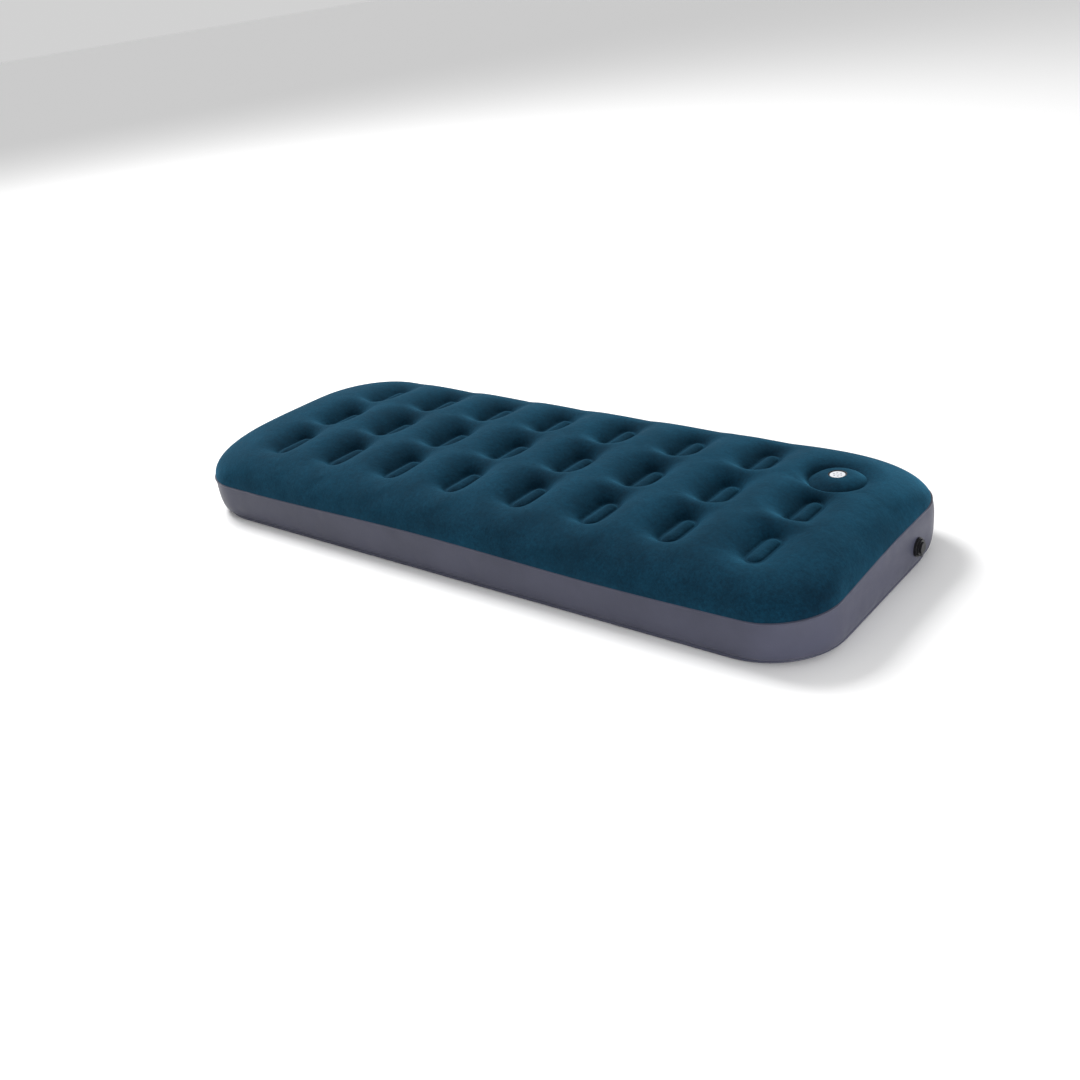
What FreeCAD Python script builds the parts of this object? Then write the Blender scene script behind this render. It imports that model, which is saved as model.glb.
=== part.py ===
import FreeCAD, Part
import Sketcher
import math
import os

# A single air bed with a built-in foot pump, blown up hard.
# +X points to the end wall with the valve, +Z up; the origin is on the floor under the middle.

Vector = FreeCAD.Vector
document = FreeCAD.newDocument("air_mattress")

# ---------------------------------------------------------------- driving dimensions
sheet = document.addObject("Spreadsheet::Sheet", "sizes")
DIMENSIONS = [
    # the whole bed
    ("bed_length", 1900), ("bed_width", 720), ("bed_height", 220),
    ("corner_radius", 145), ("corner_growth", 2), ("skin", 1.2),
    # the side: how far the outline draws in below and above its widest height; its corners
    # grow rounder by corner_growth for each millimetre that it draws in
    ("widest_height", 91.5), ("bottom_roll", 18), ("crown_roll", 222),
    ("bottom_power", 3.5), ("crown_power", 2.5),
    # where the three sheets are welded to each other
    ("seam_height", 105), ("floor_weld_height", 10), ("floor_weld_inset", 60),
    # the grid of coil beams and the dimples over and under them
    ("first_column", -688), ("column_pitch", 207.3), ("row_pitch", 190),
    ("pad_width", 48), ("pad_length", 120), ("pad_height", 170),
    ("bowl_width", 200), ("bowl_length", 182),
    ("foot_height", 20), ("foot_bowl_width", 110), ("foot_bowl_length", 144),
    ("beam_gap", 2), ("beam_wall", 1.2), ("vent_radius", 9),
    # the foot pump, welded into the last place of the back row
    ("pump_along", 763), ("pump_across", 150), ("pump_floor", 184),
    ("pump_recess_radius", 74), ("pump_mouth_radius", 86), ("pump_hole_radius", 66),
    ("weld_ring_radius", 73), ("weld_ring_thickness", 1.5),
    ("chamber_radius", 70), ("base_radius", 74), ("base_thickness", 2),
    ("dome_radius", 64.5), ("dome_rise", 20), ("dome_thickness", 1.5),
    ("foam_radius", 60), ("foam_bore", 22), ("foam_clearance", 6),
    # the white inlet in the middle of the pump dome
    ("inlet_hole_radius", 19.5), ("inlet_flange_radius", 24), ("inlet_flange_thickness", 1.8),
    ("inlet_flange_height", 197.8), ("inlet_disc_radius", 17), ("inlet_disc_thickness", 3),
    ("inlet_vent_circle", 9), ("inlet_vent_radius", 2.2), ("inlet_boss_radius", 3.5),
    ("flap_thickness", 1), ("intake_flap_radius", 13),
    # the one-way valve low in the pump chamber
    ("outlet_height", 40), ("outlet_window", 14), ("outlet_neck_radius", 13.5),
    ("outlet_bore", 10), ("outlet_flange_radius", 18), ("outlet_flange_thickness", 2),
    ("outlet_neck_length", 6), ("outlet_gap", 0.3), ("outlet_flap_radius", 12.5),
    # the valve on the end wall; depths are along its axis, from the wall's outer face
    ("valve_across", 149), ("valve_height", 60), ("wall_face", 949.8), ("wall_hole_radius", 22.3),
    ("weld_flange_radius", 26), ("weld_flange_depth", 5), ("weld_flange_thickness", 2),
    ("base_neck_radius", 22), ("base_neck_height", 6), ("base_sleeve_radius", 19),
    ("base_sleeve_depth", 12), ("base_bore", 16),
    ("plug_barrel_radius", 15.7), ("plug_depth", 14), ("plug_bore", 9),
    ("plug_mouth_radius", 10), ("plug_mouth_floor", 5),
    ("seal_inner", 16.2), ("seal_outer", 18.6), ("seal_thickness", 1.4),
    ("plug_head_radius", 19), ("plug_head_thickness", 4), ("grip_radius", 1.4),
    ("cap_radius", 13), ("cap_thickness", 4), ("cap_gap", 0.2),
    ("stopper_radius", 9.7), ("stopper_tip_radius", 8.6), ("stopper_length", 5),
    ("strap_width", 8), ("strap_thickness", 1), ("hinge_reach", 20.3),
    ("valve_flap_radius", 10.5), ("valve_flap_gap", 0.1),
]
for row, (alias, value) in enumerate(DIMENSIONS, start=1):
    sheet.set(f"A{row}", alias)
    sheet.set(f"B{row}", str(value))
    sheet.setAlias(f"B{row}", alias)
document.recompute()

COLUMNS = 8
ROWS = 3
PUMP_PLACE = (COLUMNS - 1, ROWS - 1)
GRIP_COUNT = 20
INLET_VENT_COUNT = 6
Z_AXIS_TO_X = FreeCAD.Rotation(Vector(0, 1, 0), 90)
Z_AXIS_TO_MINUS_X = FreeCAD.Rotation(Vector(0, 1, 0), -90)

subparts = {}


def size(alias):
    return float(sheet.get(alias))


def bind(thing, bindings):
    """Tie properties of a document object to expressions on the sheet."""
    for path, expression in bindings.items():
        thing.setExpression(path, expression)


def subpart(thing, label):
    """Name a finished object; its label is its node's name."""
    thing.Label = label
    subparts[label] = thing
    return thing


def solid_feature(label, shape):
    """A sub-part whose shape is made directly, for forms that no feature covers."""
    thing = document.addObject("Part::Feature", label)
    thing.Shape = shape
    return subpart(thing, label)


# ---------------------------------------------------------------- simple bound solids
def cylinder(name, radius, height, base="0"):
    """A cylinder along Z; radius, height and base are expressions on the sheet."""
    thing = document.addObject("Part::Cylinder", name)
    bind(thing, {"Radius": radius, "Height": height, "Placement.Base.z": base})
    return thing


def cone(name, radius_low, radius_high, height, base="0"):
    thing = document.addObject("Part::Cone", name)
    bind(thing, {"Radius1": radius_low, "Radius2": radius_high, "Height": height,
                 "Placement.Base.z": base})
    return thing


def cut(name, base, tool):
    thing = document.addObject("Part::Cut", name)
    thing.Base = base
    thing.Tool = tool
    return thing


def fuse(name, pieces):
    thing = document.addObject("Part::MultiFuse", name)
    thing.Shapes = pieces
    thing.Refine = True
    return thing


def ring(name, outer, inner, height, base="0"):
    """A flat ring or tube along Z."""
    body = cylinder(f"{name}_outer", outer, height, base)
    bore = cylinder(f"{name}_inner", inner, height, base)
    return cut(name, body, bore)


def on_pump_axis(thing):
    bind(thing, {"Placement.Base.x": "sizes.pump_along", "Placement.Base.y": "sizes.pump_across"})
    return thing


def on_valve_axis(thing, outwards="0"):
    """Turn a piece made along Z to point out of the end wall, on the valve's axis."""
    thing.Placement = FreeCAD.Placement(Vector(), Z_AXIS_TO_X)
    bind(thing, {"Placement.Base.x": f"sizes.wall_face + {outwards}",
                 "Placement.Base.y": "sizes.valve_across",
                 "Placement.Base.z": "sizes.valve_height"})
    return thing


def on_outlet_axis(thing, outwards="0"):
    """Turn a piece made along Z to point from the pump chamber into the bed."""
    thing.Placement = FreeCAD.Placement(Vector(), Z_AXIS_TO_MINUS_X)
    bind(thing, {"Placement.Base.x": f"sizes.pump_along - sizes.chamber_radius - ({outwards})",
                 "Placement.Base.y": "sizes.pump_across",
                 "Placement.Base.z": "sizes.outlet_height"})
    return thing


# ---------------------------------------------------------------- the welded sheets
def rounded_rectangle(half_x, half_y, radius, height, centre=(0, 0)):
    """A closed wire of four sides and four quarter circles, level at height."""
    middle_x, middle_y = centre
    corners = [(half_x - radius, half_y - radius, 0), (radius - half_x, half_y - radius, 90),
               (radius - half_x, radius - half_y, 180), (half_x - radius, radius - half_y, 270)]
    arcs = []
    for x, y, start in corners:
        place = Vector(middle_x + x, middle_y + y, height)
        arcs.append(Part.makeCircle(radius, place, Vector(0, 0, 1), start, start + 90))
    edges = []
    for arc, following in zip(arcs, arcs[1:] + arcs[:1]):
        edges.append(arc)
        edges.append(Part.makeLine(arc.Vertexes[-1].Point, following.Vertexes[0].Point))
    return Part.Wire(edges)


def superellipse_steps(power, count):
    """Pairs (height, inset), both from 0 to 1, along a quarter of a superellipse."""
    steps = []
    for index in range(count + 1):
        angle = math.radians(90) * index / count
        height = math.sin(angle) ** (2 / power)
        inset = 1 - math.cos(angle) ** (2 / power)
        steps.append((height, inset))
    return steps


def envelope(inwards):
    """The inflated outline without its dimples, moved inwards all round."""
    widest = size("widest_height")
    below = superellipse_steps(size("bottom_power"), 4)
    above = superellipse_steps(size("crown_power"), 9)
    levels = []
    for height, inset in reversed(below):
        levels.append((widest - height * (widest - inwards), inset * size("bottom_roll")))
    for height, inset in above[1:]:
        rise = size("bed_height") - widest - inwards
        levels.append((widest + height * rise, inset * size("crown_roll")))
    wires = []
    for height, inset in levels:
        total = inset + inwards
        half_x = size("bed_length") / 2 - total
        half_y = size("bed_width") / 2 - total
        radius = min(size("corner_radius") + size("corner_growth") * inset, half_y * 0.98)
        wires.append(rounded_rectangle(half_x, half_y, radius, height))
    return Part.makeLoft(wires, True, True)


def bowl(centre, pad, mouth, pad_level, mouth_level, outwards):
    """The hollow of one dimple: a flat pad and a flank that eases off towards the crown."""
    flank = 1.8
    wires = []
    for share in (0, 0.12, 0.35, 0.65, 1):
        rise = 1 - (1 - share) ** flank
        half_x = (pad[0] + (mouth[0] - pad[0]) * share) / 2 + outwards
        half_y = (pad[1] + (mouth[1] - pad[1]) * share) / 2 + outwards
        radius = min(half_x, half_y) * 0.98
        height = pad_level + (mouth_level - pad_level) * rise
        wires.append(rounded_rectangle(half_x, half_y, radius, height, centre))
    return Part.makeLoft(wires, True, True)


def beam_places():
    """(column, row) of each coil beam; the pump takes one place of the grid."""
    return [(column, row) for row in range(ROWS) for column in range(COLUMNS)
            if (column, row) != PUMP_PLACE]


def beam_centre(column, row):
    x = size("first_column") + column * size("column_pitch")
    y = (row - (ROWS - 1) / 2) * size("row_pitch")
    return x, y


def dimple_tools(outwards):
    """The hollows over and under every coil beam, grown outwards by a sheet's thickness."""
    overlap = 2
    pad = (size("pad_width"), size("pad_length"))
    mouth = (size("bowl_width"), size("bowl_length"))
    foot_mouth = (size("foot_bowl_width"), size("foot_bowl_length"))
    tools = []
    for column, row in beam_places():
        centre = beam_centre(column, row)
        tools.append(bowl(centre, pad, mouth, size("pad_height") - outwards,
                          size("bed_height") + overlap, outwards))
        tools.append(bowl(centre, pad, foot_mouth, size("foot_height") + outwards,
                          -overlap, outwards))
    return tools


def pump_recess(outwards):
    """The round hollow that the pump dome sits in."""
    height = size("bed_height") - size("pump_floor")
    hollow = Part.makeCone(size("pump_recess_radius") + outwards,
                           size("pump_mouth_radius") + outwards, height + outwards)
    hollow.translate(Vector(size("pump_along"), size("pump_across"),
                            size("pump_floor") - outwards))
    return hollow


def inflated_body(inwards):
    return envelope(inwards).cut(dimple_tools(inwards) + [pump_recess(inwards)])


def slab(low, high, inset=0):
    """A level box over the whole plan, drawn in by inset on every side."""
    half_x = size("bed_length") / 2 + 1 - inset
    half_y = size("bed_width") / 2 + 1 - inset
    return Part.makeBox(2 * half_x, 2 * half_y, high - low, Vector(-half_x, -half_y, low))


def make_sheets():
    """The flocked top, the side band and the bottom sheet, as three shells."""
    shell = inflated_body(0).cut(inflated_body(size("skin")))
    seam = size("seam_height")
    floor_weld = size("floor_weld_height")
    below_floor = -1
    above_crown = size("bed_height") + 1
    bottom_zone = slab(below_floor, floor_weld).fuse(
        slab(below_floor, seam / 2, size("floor_weld_inset")))

    pump_hole = Part.makeCylinder(size("pump_hole_radius"), size("bed_height"),
                                  Vector(size("pump_along"), size("pump_across"), seam))
    valve_hole = Part.makeCylinder(
        size("wall_hole_radius"), size("bottom_roll"),
        Vector(size("wall_face") - size("bottom_roll") + 1, size("valve_across"),
               size("valve_height")), Vector(1, 0, 0))

    top = shell.common(slab(seam, above_crown)).cut(pump_hole)
    side = shell.common(slab(floor_weld, seam)).cut([bottom_zone, valve_hole])
    bottom = shell.common(bottom_zone)
    for label, shape in (("top_cover", top), ("side_wall", side), ("bottom_sheet", bottom)):
        solid_feature(label, shape.Solids[0] if len(shape.Solids) == 1 else shape)


# ---------------------------------------------------------------- coil beams
def slot_outline(sketch, width, length):
    """An upright oval in a sketch: two sides, two half circles, both sizes bound to the sheet."""
    radius, straight = size("pad_width") / 2, size("pad_length") / 4
    right = sketch.addGeometry(
        Part.LineSegment(Vector(radius, -straight, 0), Vector(radius, straight, 0)))
    top = sketch.addGeometry(Part.ArcOfCircle(
        Part.Circle(Vector(0, straight, 0), Vector(0, 0, 1), radius), 0, math.pi))
    left = sketch.addGeometry(
        Part.LineSegment(Vector(-radius, straight, 0), Vector(-radius, -straight, 0)))
    bottom = sketch.addGeometry(Part.ArcOfCircle(
        Part.Circle(Vector(0, -straight, 0), Vector(0, 0, 1), radius), math.pi, 2 * math.pi))
    for first, second in ((right, top), (top, left), (left, bottom), (bottom, right)):
        sketch.addConstraint(Sketcher.Constraint("Tangent", first, 2, second, 1))
    sketch.addConstraint(Sketcher.Constraint("Vertical", right))
    sketch.addConstraint(Sketcher.Constraint("PointOnObject", top, 3, -2))
    sketch.addConstraint(Sketcher.Constraint("Symmetric", top, 3, bottom, 3, -1, 1))
    across = sketch.addConstraint(Sketcher.Constraint("Radius", top, radius))
    along = sketch.addConstraint(
        Sketcher.Constraint("DistanceY", bottom, 3, top, 3, 2 * straight))
    sketch.setExpression(f"Constraints[{across}]", f"({width}) / 2")
    sketch.setExpression(f"Constraints[{along}]", f"({length}) - ({width})")


def origin_plane(body, role):
    return next(plane for plane in body.Origin.OriginFeatures if plane.Role == role)


def attached_sketch(body, name, role):
    sketch = body.newObject("Sketcher::SketchObject", name)
    sketch.AttachmentSupport = (origin_plane(body, role), [""])
    sketch.MapMode = "FlatFace"
    return sketch


def coil_beam(number, column, row):
    """An oval tube welded between the pads of the top and bottom sheets, vented near mid height."""
    label = f"coil_beam_{number:02d}"
    body = document.addObject("PartDesign::Body", label)
    outline = attached_sketch(body, f"{label}_outline", "XY_Plane")
    slot_outline(outline, "sizes.pad_width - 2 * sizes.beam_gap",
                 "sizes.pad_length - 2 * sizes.beam_gap")
    slot_outline(outline, "sizes.pad_width - 2 * (sizes.beam_gap + sizes.beam_wall)",
                 "sizes.pad_length - 2 * (sizes.beam_gap + sizes.beam_wall)")
    tube = body.newObject("PartDesign::Pad", f"{label}_tube")
    tube.Profile = outline
    bind(tube, {"Length": "sizes.pad_height - sizes.foot_height - 2 * sizes.skin"})

    vent_sketch = attached_sketch(body, f"{label}_vent_sketch", "YZ_Plane")
    circle = vent_sketch.addGeometry(
        Part.Circle(Vector(0, size("bed_height") / 3, 0), Vector(0, 0, 1), size("vent_radius")))
    vent_sketch.addConstraint(Sketcher.Constraint("PointOnObject", circle, 3, -2))
    radius = vent_sketch.addConstraint(
        Sketcher.Constraint("Radius", circle, size("vent_radius")))
    height = vent_sketch.addConstraint(
        Sketcher.Constraint("DistanceY", circle, 3, size("bed_height") / 3))
    vent_sketch.setExpression(f"Constraints[{radius}]", "sizes.vent_radius")
    vent_sketch.setExpression(f"Constraints[{height}]",
                              "(sizes.pad_height - sizes.foot_height) / 2")
    vent = body.newObject("PartDesign::Pocket", f"{label}_vent")
    vent.Profile = vent_sketch
    vent.Midplane = True
    bind(vent, {"Length": "2 * sizes.pad_width"})
    body.Tip = vent

    middle_row = (ROWS - 1) / 2
    bind(body, {
        "Placement.Base.x": f"sizes.first_column + {column} * sizes.column_pitch",
        "Placement.Base.y": f"{row - middle_row} * sizes.row_pitch",
        "Placement.Base.z": "sizes.foot_height + sizes.skin",
    })
    return subpart(body, label)


# ---------------------------------------------------------------- foot pump
def make_pump_chamber():
    """The sealed cylinder under the dome: weld ring, wall, base and the foam spring."""
    ring_base = "sizes.pump_floor - sizes.skin - sizes.weld_ring_thickness"
    weld_ring = ring("pump_weld_ring_blank", "sizes.weld_ring_radius", "sizes.pump_hole_radius",
                     "sizes.weld_ring_thickness", ring_base)
    subpart(on_pump_axis(weld_ring), "pump_weld_ring")

    base_top = "sizes.skin + sizes.base_thickness"
    base = cylinder("pump_base_blank", "sizes.base_radius", "sizes.base_thickness", "sizes.skin")
    subpart(on_pump_axis(base), "pump_chamber_base")

    wall = ring("pump_wall_tube", "sizes.chamber_radius", "sizes.chamber_radius - sizes.skin",
                f"{ring_base} - ({base_top})", base_top)
    on_pump_axis(wall)
    window = cylinder("pump_wall_window", "sizes.outlet_window", "sizes.outlet_window")
    on_outlet_axis(window, "-sizes.outlet_window / 2")
    subpart(cut("pump_wall_cut", wall, window), "pump_chamber_wall")

    foam = ring("pump_foam_block", "sizes.foam_radius", "sizes.foam_bore",
                f"sizes.pump_floor - sizes.foam_clearance - ({base_top})", base_top)
    subpart(on_pump_axis(foam), "pump_foam")


def make_pump_dome():
    """The flocked cap of the pump: a thin slice of a sphere with the inlet's hole."""
    outer = "(sizes.dome_radius ^ 2 + sizes.dome_rise ^ 2) / (2 * sizes.dome_rise)"
    centre = f"sizes.pump_floor + sizes.dome_rise - {outer}"
    ball = document.addObject("Part::Sphere", "dome_outer")
    bind(ball, {"Radius": outer, "Placement.Base.z": centre})
    hollow = document.addObject("Part::Sphere", "dome_inner")
    bind(hollow, {"Radius": f"{outer} - sizes.dome_thickness", "Placement.Base.z": centre})
    shell = cut("dome_shell", ball, hollow)
    zone = ring("dome_zone", "sizes.dome_radius", "sizes.inlet_hole_radius",
                "2 * sizes.dome_rise", "sizes.pump_floor")
    cap = document.addObject("Part::Common", "dome_cap")
    cap.Base = shell
    cap.Tool = zone
    subpart(on_pump_axis(cap), "pump_dome")


def make_pump_inlet():
    """The white inlet: a flange under the dome, a vented disc in its hole, and a rubber flap."""
    flange = cylinder("inlet_flange", "sizes.inlet_flange_radius", "sizes.inlet_flange_thickness",
                      "sizes.inlet_flange_height")
    disc = cylinder("inlet_disc", "sizes.inlet_disc_radius", "sizes.inlet_disc_thickness",
                    "sizes.inlet_flange_height")
    boss = cylinder("inlet_boss", "sizes.inlet_boss_radius", "sizes.inlet_disc_thickness + 0.8",
                    "sizes.inlet_flange_height")
    seat = fuse("inlet_seat_blank", [flange, disc, boss])
    vents = []
    for index in range(INLET_VENT_COUNT):
        angle = 360 / INLET_VENT_COUNT * index
        vent = cylinder(f"inlet_vent_{index}", "sizes.inlet_vent_radius", "sizes.bed_height")
        bind(vent, {"Placement.Base.x": f"sizes.inlet_vent_circle * cos({angle} deg)",
                    "Placement.Base.y": f"sizes.inlet_vent_circle * sin({angle} deg)"})
        vents.append(vent)
    vented = cut("inlet_seat", seat, fuse("inlet_vents", vents))
    subpart(on_pump_axis(vented), "intake_valve_seat")

    flap = cylinder("intake_flap_disc", "sizes.intake_flap_radius", "sizes.flap_thickness",
                    "sizes.inlet_flange_height - sizes.flap_thickness")
    subpart(on_pump_axis(flap), "intake_flap")


def make_pump_outlet():
    """The one-way valve that lets air from the pump chamber into the bed."""
    flange = ring("outlet_flange", "sizes.outlet_flange_radius", "sizes.outlet_bore",
                  "sizes.outlet_flange_thickness", "sizes.outlet_gap")
    neck = ring("outlet_neck", "sizes.outlet_neck_radius", "sizes.outlet_bore",
                "sizes.outlet_neck_length + sizes.outlet_gap", "-sizes.outlet_neck_length")
    body = fuse("outlet_body", [flange, neck])
    subpart(on_outlet_axis(body), "outlet_valve_body")

    flap = cylinder("outlet_flap_disc", "sizes.outlet_flap_radius", "sizes.flap_thickness")
    on_outlet_axis(flap, "sizes.outlet_gap + sizes.outlet_flange_thickness")
    subpart(flap, "outlet_flap")


# ---------------------------------------------------------------- valve on the end wall
SEAL_TOP = "sizes.base_neck_height + sizes.seal_thickness"
HEAD_TOP = f"{SEAL_TOP} + sizes.plug_head_thickness"
CAP_BASE = f"{HEAD_TOP} + sizes.cap_gap"


def rim_grips(name, radius, grip, height, base):
    """A ring of small upright cylinders, to cut finger grips into a rim."""
    grips = []
    for index in range(GRIP_COUNT):
        angle = 360 / GRIP_COUNT * (index + 0.5)
        post = cylinder(f"{name}_{index}", grip, height, base)
        bind(post, {"Placement.Base.x": f"{radius} * cos({angle} deg)",
                    "Placement.Base.y": f"{radius} * sin({angle} deg)"})
        grips.append(post)
    return fuse(name, grips)


def make_valve_base():
    """The welded part of the valve: flange inside the wall, neck outside, sleeve through both."""
    flange = cylinder("base_flange", "sizes.weld_flange_radius", "sizes.weld_flange_thickness",
                      "-sizes.weld_flange_depth")
    neck = cylinder("base_neck", "sizes.base_neck_radius",
                    "sizes.base_neck_height + sizes.weld_flange_depth",
                    "-sizes.weld_flange_depth")
    sleeve = cylinder("base_sleeve", "sizes.base_sleeve_radius",
                      "sizes.base_neck_height + sizes.base_sleeve_depth",
                      "-sizes.base_sleeve_depth")
    blank = fuse("base_blank", [flange, neck, sleeve])
    bore = cylinder("base_bore_tool", "sizes.base_bore", "sizes.bed_height",
                    "-sizes.bed_height / 2")
    subpart(on_valve_axis(cut("base_body", blank, bore)), "valve_base")


def make_valve_plug():
    """The screw-in plug with its grip rim and air bore, and the seal under its head."""
    seal = ring("seal_ring", "sizes.seal_outer", "sizes.seal_inner", "sizes.seal_thickness",
                "sizes.base_neck_height")
    subpart(on_valve_axis(seal), "plug_seal")

    barrel = cylinder("plug_barrel", "sizes.plug_barrel_radius", f"sizes.plug_depth + {SEAL_TOP}",
                      "-sizes.plug_depth")
    head = cylinder("plug_head", "sizes.plug_head_radius", "sizes.plug_head_thickness", SEAL_TOP)
    blank = fuse("plug_blank", [barrel, head])
    grips = rim_grips("plug_grips", "sizes.plug_head_radius", "sizes.grip_radius",
                      "2 * sizes.plug_head_thickness", SEAL_TOP)
    gripped = cut("plug_gripped", blank, grips)
    bore = cylinder("plug_bore_tool", "sizes.plug_bore", "sizes.bed_height",
                    "-sizes.bed_height / 2")
    mouth = cylinder("plug_mouth_tool", "sizes.plug_mouth_radius", "sizes.bed_height",
                     "sizes.plug_mouth_floor")
    hollow = fuse("plug_hollow", [bore, mouth])
    subpart(on_valve_axis(cut("plug_body", gripped, hollow)), "valve_plug")


def make_valve_cap():
    """The stopper that closes the air bore, and the strap that it hinges on."""
    disc = cylinder("cap_disc", "sizes.cap_radius", "sizes.cap_thickness", CAP_BASE)
    stopper = cone("cap_stopper", "sizes.stopper_tip_radius", "sizes.stopper_radius",
                   "sizes.stopper_length", f"{CAP_BASE} - sizes.stopper_length")
    subpart(on_valve_axis(fuse("cap_body", [disc, stopper])), "valve_cap")

    strap = document.addObject("Part::Box", "strap_blank")
    bind(strap, {"Length": "sizes.hinge_reach - sizes.cap_radius / 2",
                 "Width": "sizes.strap_width", "Height": "sizes.strap_thickness",
                 "Placement.Base.x": "sizes.cap_radius / 2",
                 "Placement.Base.y": "-sizes.strap_width / 2", "Placement.Base.z": CAP_BASE})
    clear = cylinder("strap_clear", "sizes.cap_radius", "sizes.cap_thickness", CAP_BASE)
    subpart(on_valve_axis(cut("strap_body", strap, clear)), "cap_strap")


def make_valve_flap():
    """The rubber flap that closes the inner end of the plug."""
    flap = cylinder("valve_flap_disc", "sizes.valve_flap_radius", "sizes.flap_thickness")
    on_valve_axis(flap, "(-sizes.plug_depth - sizes.valve_flap_gap - sizes.flap_thickness)")
    subpart(flap, "valve_flap")


# ---------------------------------------------------------------- build, check, write
def check_document():
    for thing in document.Objects:
        if {"Invalid", "Error"} & set(thing.State):
            raise RuntimeError(f"{thing.Label} is in state {thing.State}")
    for label, thing in subparts.items():
        if thing.Shape.isNull() or not thing.Shape.isValid() or not thing.Shape.Solids:
            raise RuntimeError(f"{label} has no valid solid")


def write_steps():
    os.makedirs("parts", exist_ok=True)
    for label, thing in subparts.items():
        thing.Shape.exportStep(os.path.join("parts", f"{label}.step"))
        print(f"{label}: {thing.Shape.Volume / 1000:.1f} cm3, {len(thing.Shape.Solids)} solid")


make_sheets()
for number, (column, row) in enumerate(beam_places(), start=1):
    coil_beam(number, column, row)
make_pump_chamber()
make_pump_dome()
make_pump_inlet()
make_pump_outlet()
make_valve_base()
make_valve_plug()
make_valve_cap()
make_valve_flap()
document.recompute()
check_document()
write_steps()
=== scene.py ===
import math

import bmesh
import bpy
import numpy as np
from mathutils import Matrix, Vector


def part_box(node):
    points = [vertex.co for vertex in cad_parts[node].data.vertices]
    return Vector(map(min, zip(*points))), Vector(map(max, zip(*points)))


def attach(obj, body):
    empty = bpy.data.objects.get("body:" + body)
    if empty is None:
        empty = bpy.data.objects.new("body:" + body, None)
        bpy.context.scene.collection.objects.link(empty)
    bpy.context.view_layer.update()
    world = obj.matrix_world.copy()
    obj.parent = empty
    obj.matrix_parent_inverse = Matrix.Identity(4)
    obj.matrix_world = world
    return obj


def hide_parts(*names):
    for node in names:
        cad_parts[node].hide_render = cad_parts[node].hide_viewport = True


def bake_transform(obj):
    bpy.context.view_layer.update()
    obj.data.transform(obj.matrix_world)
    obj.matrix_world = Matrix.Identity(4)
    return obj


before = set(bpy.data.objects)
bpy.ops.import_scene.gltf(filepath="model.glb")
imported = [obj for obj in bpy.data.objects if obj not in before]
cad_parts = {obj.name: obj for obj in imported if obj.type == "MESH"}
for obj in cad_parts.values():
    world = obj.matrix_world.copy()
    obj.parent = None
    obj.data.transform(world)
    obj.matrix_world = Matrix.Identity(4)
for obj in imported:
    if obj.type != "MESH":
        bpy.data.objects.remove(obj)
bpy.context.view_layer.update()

# ---------------------------------------------------------------- sizes, from the frame
TOP_LOW, TOP_HIGH = (np.array(corner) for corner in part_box("top_cover"))
SIDE_LOW, SIDE_HIGH = (np.array(corner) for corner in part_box("side_wall"))
DOME_LOW, DOME_HIGH = (np.array(corner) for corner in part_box("pump_dome"))
FOAM_LOW, FOAM_HIGH = (np.array(corner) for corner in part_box("pump_foam"))
INLET_LOW = np.array(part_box("intake_valve_seat")[0])

HALF_LENGTH = SIDE_HIGH[0]
HALF_WIDTH = SIDE_HIGH[1]
CROWN = TOP_HIGH[2]
SEAM = TOP_LOW[2]
FLOOR_WELD = SIDE_LOW[2]
CORNER_RADIUS = 0.145
CORNER_GROWTH = 2.0
FOOT_GROWTH = 3.0
WIDEST = 0.0915
CREST_DROP = 0.007
CREST = CROWN - CREST_DROP
CROWN_ROLL = 0.222
CROWN_POWER = 2.5
BOTTOM_ROLL = 0.018
BOTTOM_POWER = 3.5

BOWL_REACH = 0.105
BOWL_POWER = 3.2
BOWL_MIX = 2.2
FOOT_BOWL_REACH = 0.018
SKIN_LIFT = 0.001
PAD_GROOVE = 0.0065
PAD_ROLL = 0.0175
PAD_BULGE = 0.0095
PAD_POWER = 1.45

COLUMNS = 8
ROWS = 3
PUMP_PLACE = (COLUMNS - 1, ROWS - 1)
PUMP_CENTRE = (DOME_LOW + DOME_HIGH)[:2] / 2
PUMP_RADIUS = (DOME_HIGH[0] - DOME_LOW[0]) / 2
PUMP_FLOOR = DOME_LOW[2]
PUMP_TOP = DOME_HIGH[2]
PUMP_REACH = 0.070
PUMP_LIP_SLOPE = 0.40
PUMP_BEND = 0.017
PUMP_BEND_DEPTH = 0.03
PUMP_BEND_WIDTH = 0.06
INLET_HOLE = 0.0195
HOLE_FILLET = 0.0022
LIP_RADIUS = 0.0174
LIP_ABOVE_FLANGE = 0.0022
DOME_POWER = 2.2
FOAM_BORE = 0.022
PAD_HOLD = 0.022
BEAM_GAP = 0.002

CELL_SIDE = 12
CELL_RINGS = 12
TOP_RING_POWER = 1.45
FOOT_RING_POWER = 1.3
MERGE_DISTANCE = 1e-5
BORDER_LOOPS = 14
BOTTOM_LOOPS = 5
SEAM_SAG = 0.0012
SEAM_WAVE = 0.0040
SEAM_WAVE_LENGTH = 1.15
SEAM_WAVE_START = 0.1
SEAM_END_RISE = 0.003
SEAM_FAR_RISE = 0.0150
SEAM_RISE_START = 0.15
SEAM_RISE_END = 0.02
SEAM_LIP = 0.0016
SEAM_LIP_START = 0.0009
SEAM_LIP_DROP = 0.0022
SEAM_LIP_HEIGHT = 0.0012
WELD_GROOVE = 0.0045
WELD_GROOVE_HEIGHT = 0.0030
PAD_RING_DEPTHS = (0.0, 0.0030, 0.0055, 0.0066, 0.0078, 0.0105, 0.0145, 0.0185)

# the crease in the flocked sheet by the pump: its ends in plan, clear of the welds
CREASE_START = (0.808, -0.040)
CREASE_END = (0.822, -0.132)
CREASE_DEPTH = 0.0048
CREASE_WIDTH = 0.009

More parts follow.
